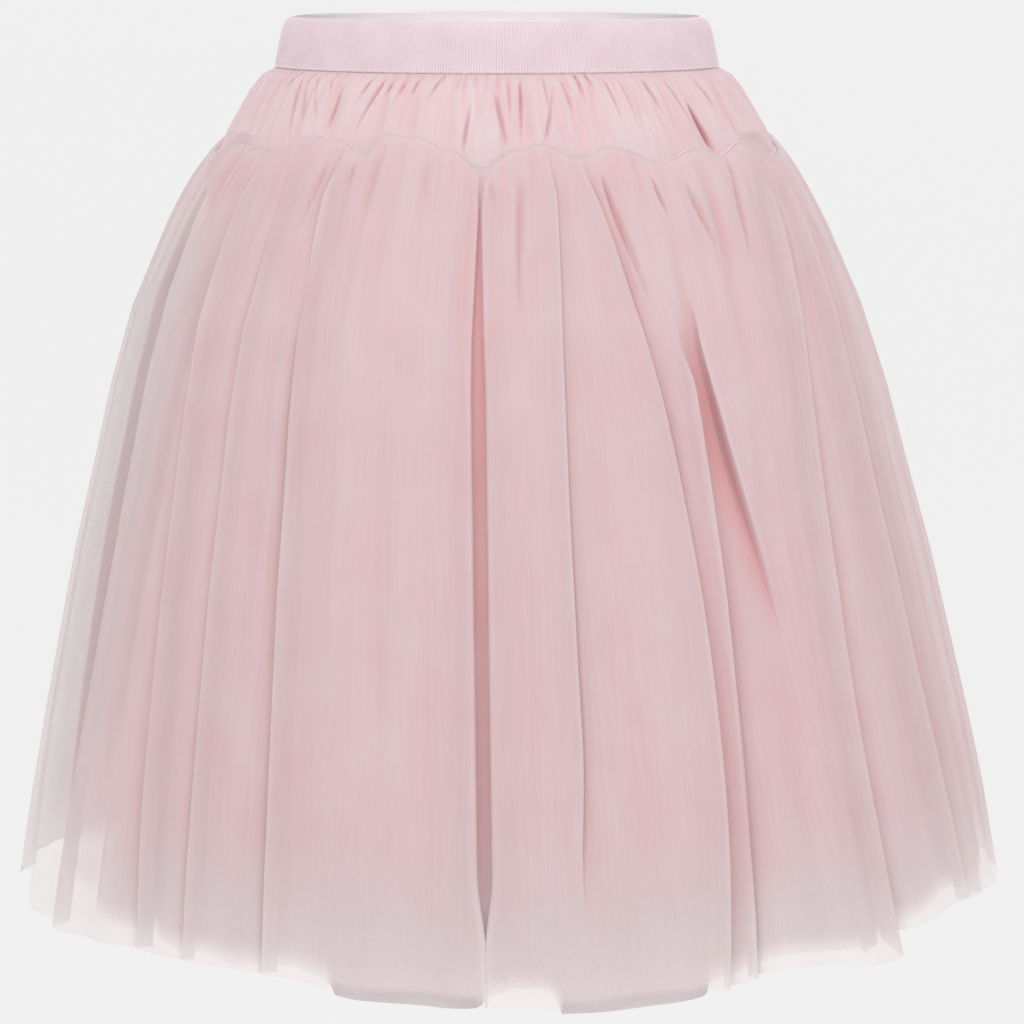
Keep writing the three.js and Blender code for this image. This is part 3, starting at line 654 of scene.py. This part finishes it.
# Lower tier: the long, much fuller outer layer of tulle, a front and a back, gathered into the
# tier seam. Its folds fall from there and lap over one another, down to a raw-cut hem.
tier_gather_deep = 0.0016
tier_fold_deep = 0.0022
tier_wave_deep = 0.0016
hem_flutter = 0.0014
tier_creases = [
    Crease(-72.0, -0.0700, -80.0, -0.2000, 0.30, 0.0032, 0.0028, 0.0021),
    Crease(-57.0, -0.0640, -60.0, -0.1200, 0.30, 0.0024, 0.0021, 0.0014),
    Crease(-33.5, -0.0640, -35.6, -0.1050, 0.40, 0.0029, 0.0015, 0.0011),
    Crease(-27.5, -0.0640, -28.0, -0.0800, 0.40, 0.0027, 0.0013, 0.0010),
    Crease(-22.0, -0.0540, -23.6, -0.1000, 0.35, 0.0024, 0.0018, 0.0014),
    Crease(-13.0, -0.0600, -13.5, -0.1000, 0.40, 0.0018, 0.0021, 0.0021),
    Crease(-1.2, -0.0700, 0.2, -0.0920, 0.50, 0.0032, 0.0008, 0.0015),
    Crease(4.4, -0.0700, 3.4, -0.1500, 0.35, 0.0048, 0.0021, 0.0010),
    Crease(19.6, -0.0700, 25.0, -0.1500, 0.30, 0.0045, 0.0016, 0.0009),
    Crease(29.6, -0.0720, 31.0, -0.0960, 0.45, 0.0035, 0.0015, 0.0008),
    Crease(37.0, -0.0760, 39.0, -0.1160, 0.40, 0.0045, 0.0021, 0.0010),
    Crease(30.8, -0.1400, 37.2, -0.3350, 0.45, 0.0070, 0.0160, 0.0018),
    Crease(42.0, -0.0700, 41.0, -0.1500, 0.40, 0.0021, 0.0028, 0.0028),
    Crease(51.0, -0.0640, 45.0, -0.1250, 0.35, 0.0045, 0.0018, 0.0010),
    Crease(101.0, -0.0700, 107.0, -0.1300, 0.35, 0.0040, 0.0021, 0.0011),
    Crease(122.0, -0.0700, 120.0, -0.1100, 0.40, 0.0032, 0.0014, 0.0014),
    Crease(133.0, -0.0640, 131.0, -0.1300, 0.35, 0.0040, 0.0011, 0.0021),
    Crease(155.0, -0.0640, 156.0, -0.1000, 0.40, 0.0032, 0.0014, 0.0014),
    Crease(170.0, -0.0640, 168.0, -0.1400, 0.35, 0.0040, 0.0021, 0.0011),
    Crease(182.0, -0.0700, 183.0, -0.1100, 0.40, 0.0032, 0.0014, 0.0014),
    Crease(196.0, -0.0680, 195.0, -0.1500, 0.35, 0.0040, 0.0021, 0.0011),
    Crease(208.0, -0.0660, 209.0, -0.1000, 0.40, 0.0029, 0.0014, 0.0014),
    Crease(219.0, -0.0600, 221.0, -0.1300, 0.35, 0.0040, 0.0011, 0.0021),
    Crease(234.0, -0.0700, 233.0, -0.1200, 0.40, 0.0032, 0.0015, 0.0011),
    Crease(246.0, -0.0660, 245.0, -0.1300, 0.35, 0.0040, 0.0021, 0.0011),
]
# Long soft troughs and ridges down the wide panels
tier_troughs = [
    Crease(-17.0, -0.1500, -15.0, -0.4200, 0.50, 0.0035, 0.0100, 0.0080),
    Crease(-10.0, -0.2200, -9.0, -0.5000, 0.50, 0.0026, 0.0080, 0.0070),
    Crease(3.0, -0.2000, 2.6, -0.4800, 0.50, 0.0029, 0.0060, 0.0060),
    Crease(15.0, -0.2400, 16.5, -0.5000, 0.60, 0.0035, 0.0080, 0.0080),
    Crease(38.0, -0.2000, 37.0, -0.4800, 0.50, 0.0035, 0.0100, 0.0100),
    Crease(33.0, -0.2800, 36.5, -0.4700, 0.40, 0.0040, 0.0120, 0.0140),
    Crease(134.0, -0.2000, 133.0, -0.4600, 0.50, 0.0035, 0.0100, 0.0080),
    Crease(157.0, -0.2400, 158.0, -0.5000, 0.50, 0.0032, 0.0080, 0.0080),
    Crease(196.0, -0.2200, 194.0, -0.4800, 0.50, 0.0035, 0.0090, 0.0080),
    Crease(221.0, -0.2200, 222.0, -0.4800, 0.50, 0.0032, 0.0080, 0.0080),
    Crease(-22.0, -0.0900, -21.0, -0.3800, 0.40, -0.0024, 0.0060, 0.0060),
    Crease(-8.0, -0.0800, -7.0, -0.2600, 0.45, -0.0020, 0.0050, 0.0050),
    Crease(14.0, -0.1200, 13.0, -0.4200, 0.45, 0.0026, 0.0060, 0.0080),
    Crease(43.0, -0.1600, 41.5, -0.4600, 0.45, 0.0030, 0.0080, 0.0080),
    Crease(-35.0, -0.1200, -33.0, -0.4200, 0.45, 0.0026, 0.0060, 0.0060),
]


def tier_finer(angle, height, fall, per_degree):
    """The small gathers, folds and creases: how far they draw the cloth in, and their painted shade."""
    gathers = uneven_wave(angle, 132, 1.9) * np.exp(-fall / 0.016)
    folds = uneven_wave(angle - height * 20, 61, 2.6, 1.3) * smooth_step(0, 0.010, fall)
    folds = folds * smooth_step(0.22, 0.03, fall)
    waves = uneven_wave(angle - height * 9, 37, 3.3, 1.2) * smooth_step(0.01, 0.08, fall)
    flutter = np.sin(np.radians(angle * 31 + 20)) * smooth_step(0.36, 0.46, fall)
    creases = crease_depth(tier_creases, angle, height, per_degree)
    troughs = crease_depth(tier_troughs, angle, height, per_degree)
    extra = tier_gather_deep * gathers + tier_fold_deep * folds + tier_wave_deep * waves
    extra = extra + hem_flutter * flutter + creases + troughs
    # Painted shade: pinker in the gathers, folds, creases and troughs, and paler on the creases that are
    # ridges
    pink = 0.30 * gathers + 0.16 * folds + 0.08 * waves
    pink = pink + 0.6 * np.clip(creases / 0.005, -0.3, 1) + 40 * troughs
    return extra, pink


# Pale colour of the net, the pink of the painted shade in its folds, and its colour below the lining
tier_tulle = soft_tulle("soft tulle of the lower tier", "#E2D0D3", "#E39E9E", 0.58, "#E6DFDF")
for facing, (folds, closing) in panels.items():
    before, after, across = tier_columns(folds, closing, 2.9)
    hang = tier_points(before, after, across, drop_shares(136), shortened=outer_shortened, finer=tier_finer)
    raw_edge = smooth_step(0.0012, 0.0, hang.to_hem)
    near_hem = smooth_step(0.090, 0.006, hang.to_hem)
    alone = beside(hang.angle, -80, 10, 30) * smooth_step(0.02, 0.08, hang.fall)
    shorter = smooth_step(-0.005, -0.003, read_round(under_shortened, hang.angle))
    last_strip = smooth_step(0.018, 0.003, hang.to_hem) * shorter
    blended = smooth_step(0.008, 0.0, hang.to_hem) * (1 - shorter)
    # Painted highlight: the puffed shoulder just under the seam is painted paler
    painted_shoulder_highlight = np.exp(-((hang.fall - 0.002) / 0.002) ** 2)
    # Painted shade: the fold mask makes the valleys and creases pinker, less where one layer hangs alone and
    # near the hem
    fold = np.clip(0.75 * hang.fold + hang.pink, -0.2, 1) * (1 - 0.6 * alone) * (1 - 0.6 * near_hem)
    layers = 0.2 * fold + 0.10 * hang.rim + 0.10 * near_hem + 0.06 * last_strip - 0.22 * alone
    layers = layers + 0.25 * raw_edge * shorter - 0.60 * blended
    grey = np.maximum(0.35 * near_hem + 0.55 * last_strip, 0.45 * alone)
    # Painted highlights: paler along the laps' rounded edges and on the shoulder under the seam
    fold = fold - 0.14 * hang.rim - 0.16 * painted_shoulder_highlight - 0.25 * alone
    masks = {"fold": fold, "layers": layers, "below_lining": grey}
    around = running_length(hang.points, 110)
    panel = cloth("lower_tier_cloth_" + facing, hang.points, around, hang.fall, masks)
    panel.data.materials.append(tier_tulle)
    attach(panel, "root")
    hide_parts("lower_tier_" + facing)

# Tier seam: the raw edges of the two tiers, turned in and overlocked together, which stand up as
# one narrow pale ridge that runs round the skirt in waves.
seam_ridge = 0.0006
ridge_stands_out = 0.0008
ridge_sides = 8
ridge_steps = 900
angle = np.linspace(-90, 270, ridge_steps, endpoint=False)
height = read_round(seam_line, angle)
half_width = read(yoke_outline, "half_width", height)
half_depth = read(yoke_outline, "half_depth", height)
centre = oval_point(half_width, half_depth, angle, ridge_stands_out, height)
outward = (oval_point(half_width, half_depth, angle, ridge_stands_out + 0.001, height) - centre) / 0.001
up = np.array([0, 0, 1.0])
thickness = seam_ridge * (1 + 0.25 * np.sin(np.radians(angle * 97)) * np.sin(np.radians(angle * 31)))
ring = []
for side in range(ridge_sides + 1):
    turn = 2 * np.pi * side / ridge_sides
    ring.append(centre + thickness[:, None] * (np.cos(turn) * outward + np.sin(turn) * up))
points = np.stack(ring)
points = np.concatenate([points, points[:, :1]], axis=1)


def overlocked_edge():
    """Nylon tulle rolled in an overlocked seam: several layers of net, so it is pale and dense."""
    stitch_pitch = 0.0025
    blotch_size = 0.0083
    material, shader = new_material("overlocked tulle edge")
    threads = add(material, "UVMap", {"uv_map": "threads"})
    places = add(material, "SeparateXYZ", None, Vector=threads.outputs[0])
    turns = add(material, "Math", {"operation": "MULTIPLY"}, i0=places.outputs[0],
                i1=2 * np.pi / stitch_pitch)
    stitches = add(material, "Math", {"operation": "SINE"}, i0=turns.outputs[0])
    blotches = add(material, "TexNoise", None, Vector=threads.outputs[0], Scale=1 / blotch_size,
                   Detail=2.0)
    shade = add(material, "Math", {"operation": "MULTIPLY_ADD", "use_clamp": True}, i0=stitches.outputs[0],
                i1=0.15, i2=blotches.outputs[0])
    tint = add(material, "Mix", {"data_type": "RGBA"}, i0=shade.outputs[0], i6=colour("#ECDFE1"),
               i7=colour("#E4D0D3"))
    relief = add(material, "Bump", None, Strength=0.5, Distance=0.0003, Height=stitches.outputs[0])
    material.node_tree.links.new(tint.outputs[2], shader.inputs["Base Color"])
    material.node_tree.links.new(relief.outputs[0], shader.inputs["Normal"])
    shader.inputs["Alpha"].default_value = 0.55
    shader.inputs["Roughness"].default_value = 0.8
    return material


across_ridge = np.linspace(0, 0.005, ridge_sides + 1)[:, None]
ridge = cloth("tier_seam_ridge", points, running_length(points, 0), across_ridge)
ridge.data.materials.append(overlocked_edge())
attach(ridge, "root")

# Waistband: one ring of fine-ribbed woven elastic, about 30 mm tall. The ribs run up and down it
# and end in a row of small pale tips at the lower edge, where the yoke is sewn in behind.
band_outline = {
    "height": [0.0150, 0.0135, 0.0105, 0.0070, 0.0, -0.0080, -0.0150],
    "half_width": [0.1237, 0.1258, 0.1276, 0.1293, 0.1308, 0.1324, 0.1338],
    "half_depth": [0.0905, 0.0921, 0.0934, 0.0947, 0.0959, 0.0972, 0.0983],
}
band_ribs = 514
rib_pitch = 0.0014
rib_deep = 0.00022
steps_per_rib = 4
# Section of the band: height and how far out, from the outer face over the lower edge and round
band_section = [
    (0.0150, -0.0010), (0.0146, -0.0004), (0.0138, 0.0), (0.0120, 0.0), (0.0080, 0.0), (0.0020, 0.0),
    (-0.0040, 0.0), (-0.0100, 0.0), (-0.0130, 0.0), (-0.0144, 0.0), (-0.0149, -0.0005),
    (-0.0150, -0.0012), (-0.0149, -0.0019), (-0.0144, -0.0024), (-0.0040, -0.0024), (0.0080, -0.0024),
    (0.0142, -0.0024), (0.0149, -0.0020), (0.0150, -0.0010),
]


def ribbed_elastic():
    """Woven elastic: covered rubber cords inside smooth polyester yarn, so it has ribs and a sheen."""
    pick_pitch = 0.0011   # real weft threads are 0.5 mm apart, drawn coarser so that they show
    cloud_size = 0.0182
    material, shader = new_material("ribbed woven elastic")
    threads = add(material, "UVMap", {"uv_map": "threads"})
    places = add(material, "SeparateXYZ", None, Vector=threads.outputs[0])
    turns = add(material, "Math", {"operation": "MULTIPLY"}, i0=places.outputs[0], i1=2 * np.pi / rib_pitch)
    ribs = add(material, "Math", {"operation": "COSINE"}, i0=turns.outputs[0])
    weft = add(material, "Math", {"operation": "MULTIPLY"}, i0=places.outputs[1], i1=2 * np.pi / pick_pitch)
    picks = add(material, "Math", {"operation": "SINE"}, i0=weft.outputs[0])
    clouds = add(material, "TexNoise", None, Vector=threads.outputs[0], Scale=1 / cloud_size, Detail=3.0)
    # Painted shade: the colour turns darker down in the grooves between the ribs
    painted_groove_shade = add(material, "MapRange", None, Value=ribs.outputs[0], From_Min=-1.0, From_Max=1.0, To_Min=0.45,
                 To_Max=0.0)
    shade = add(material, "Math", {"operation": "MULTIPLY_ADD", "use_clamp": True}, i0=clouds.outputs[0],
                i1=0.6, i2=painted_groove_shade.outputs[0])
    edge = add(material, "Attribute", {"attribute_name": "pale_edge"})
    tint = add(material, "Mix", {"data_type": "RGBA"}, i0=shade.outputs[0], i6=colour("#E5D7DC"),
               i7=colour("#CBB0B9"))
    tips = add(material, "MapRange", None, Value=ribs.outputs[0], From_Min=-1.0, From_Max=1.0, To_Min=0.15,
               To_Max=1.0)
    tipped = add(material, "Math", {"operation": "MULTIPLY"}, i0=tips.outputs[0], i1=edge.outputs["Fac"])
    edged = add(material, "Mix", {"data_type": "RGBA"}, i0=tipped.outputs[0], i6=tint.outputs[2],
                i7=colour("#FBF0F2"))
    inner = add(material, "Attribute", {"attribute_name": "inner_face"})
    faced = add(material, "Mix", {"data_type": "RGBA"}, i0=inner.outputs["Fac"], i6=edged.outputs[2],
                i7=colour("#FCF8FC"))
    relief = add(material, "Bump", None, Strength=0.25, Distance=0.0002, Height=picks.outputs[0])
    links = material.node_tree.links
    links.new(faced.outputs[2], shader.inputs["Base Color"])
    links.new(relief.outputs[0], shader.inputs["Normal"])
    shader.inputs["Roughness"].default_value = 0.55
    shader.inputs["Sheen Weight"].default_value = 0.06
    shader.inputs["Sheen Roughness"].default_value = 0.35
    return material


angle = np.linspace(-90, 270, band_ribs * steps_per_rib + 1)[None, :]
section = np.array(band_section)
height = section[:, 0][:, None]
outwards = section[:, 1][:, None]
on_face = smooth_step(-0.0024, -0.0004, outwards)
rib = rib_deep * (np.cos(np.radians((angle + 90) * band_ribs)) - 1) / 2 * on_face
points = oval_point(
    read(band_outline, "half_width", height), read(band_outline, "half_depth", height), angle,
    outwards + rib, height)
pale_edge = on_face * smooth_step(-0.0128, -0.0146, height) * np.ones_like(angle)
around = np.linspace(0, band_ribs * rib_pitch, points.shape[1])[None, :]
inner_face = smooth_step(-0.0016, -0.0023, outwards)
band = cloth("waistband_elastic", points, around, height, {"pale_edge": pale_edge, "inner_face": inner_face})
band.data.materials.append(ribbed_elastic())
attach(band, "root")
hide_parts("waistband")

# Stage: a plain pale floor well below the hem, soft studio light from all round with two large
# lamps in front, and the camera where the skirt was photographed from, at hip height.
backdrop = "#F0F0F0"
floor_height = -2.4
floor_half = 90.0
studio_light = 1.06
floor_mesh = bpy.data.meshes.new("floor")
corners = [(-1, -1), (1, -1), (1, 1), (-1, 1)]
floor_points = [(x * floor_half, y * floor_half, floor_height) for x, y in corners]
floor_mesh.from_pydata(floor_points, [], [(0, 1, 2, 3)])
floor = bpy.data.objects.new("floor", floor_mesh)
scene.collection.objects.link(floor)
# Matt studio paper has no gloss and hardly any grain, so the skirt's outline stands clear on it
floor_paint, floor_shader = new_material("matt studio paper")
floor_grain = add(floor_paint, "TexNoise", None, Scale=3.0, Detail=2.0)
floor_tint = add(floor_paint, "Mix", {"data_type": "RGBA"}, i0=floor_grain.outputs[0], i6=colour("#F7F7F7"),
                 i7=colour("#F9F9F9"))
floor_paint.node_tree.links.new(floor_tint.outputs[2], floor_shader.inputs["Base Color"])
floor_shader.inputs["Roughness"].default_value = 1.0
floor_shader.inputs["Specular IOR Level"].default_value = 0.0
floor_mesh.materials.append(floor_paint)

world = bpy.data.worlds.new("soft studio light")
world.use_nodes = True
studio = world.node_tree.nodes["Background"]
studio.inputs["Color"].default_value = colour(backdrop)
seen = add(world, "LightPath")
brightness = add(world, "MapRange", None, Value=seen.outputs["Is Camera Ray"], To_Min=studio_light,
                 To_Max=1.0)
world.node_tree.links.new(brightness.outputs[0], studio.inputs["Strength"])
scene.world = world

Lamp = namedtuple("Lamp", "name x y z size power")
for lamp in (
    Lamp("key lamp", -1.6, -2.6, 1.4, 2.2, 17.0),
    Lamp("fill lamp", 2.2, -2.2, 0.8, 2.2, 14.0),
    Lamp("top lamp", 0.0, -1.0, 2.4, 1.6, 12.0),
    Lamp("back lamp", 1.0, 3.0, 0.5, 2.2, 18.0),
):
    light = bpy.data.lights.new(lamp.name, "AREA")
    light.size = lamp.size
    light.energy = lamp.power
    holder = bpy.data.objects.new(lamp.name, light)
    holder.location = (lamp.x, lamp.y, lamp.z)
    aim = holder.location * -1
    aim.z -= 0.25
    holder.rotation_euler = aim.to_track_quat("-Z", "Y").to_euler()
    scene.collection.objects.link(holder)

# A narrow beam from above the camera lights the inside of the band's back, into the waist
light = bpy.data.lights.new("beam into the waist", "AREA")
light.shape = "RECTANGLE"
light.size = 0.25
light.size_y = 0.10
light.spread = np.radians(2)
light.energy = 0.036
holder = bpy.data.objects.new("beam into the waist", light)
holder.location = (0.0, -0.95, 0.95)
aim = mathutils.Vector((0, 0.093, 0.004)) - holder.location
holder.rotation_euler = aim.to_track_quat("-Z", "Y").to_euler()
scene.collection.objects.link(holder)

camera_data = bpy.data.cameras.new("camera")
camera_data.sensor_width = 36
camera_data.lens = 136.57
camera = bpy.data.objects.new("camera", camera_data)
camera.location = (0.009, -2.350, 0.0903)
camera.rotation_euler = (np.radians(90 - 9.115), 0, 0)
scene.collection.objects.link(camera)
scene.camera = camera
scene.view_settings.view_transform = "Standard"
scene.cycles.use_denoising = True
scene.cycles.transparent_max_bounces = 20
scene.cycles.max_bounces = 3
scene.cycles.diffuse_bounces = 2
scene.cycles.glossy_bounces = 1
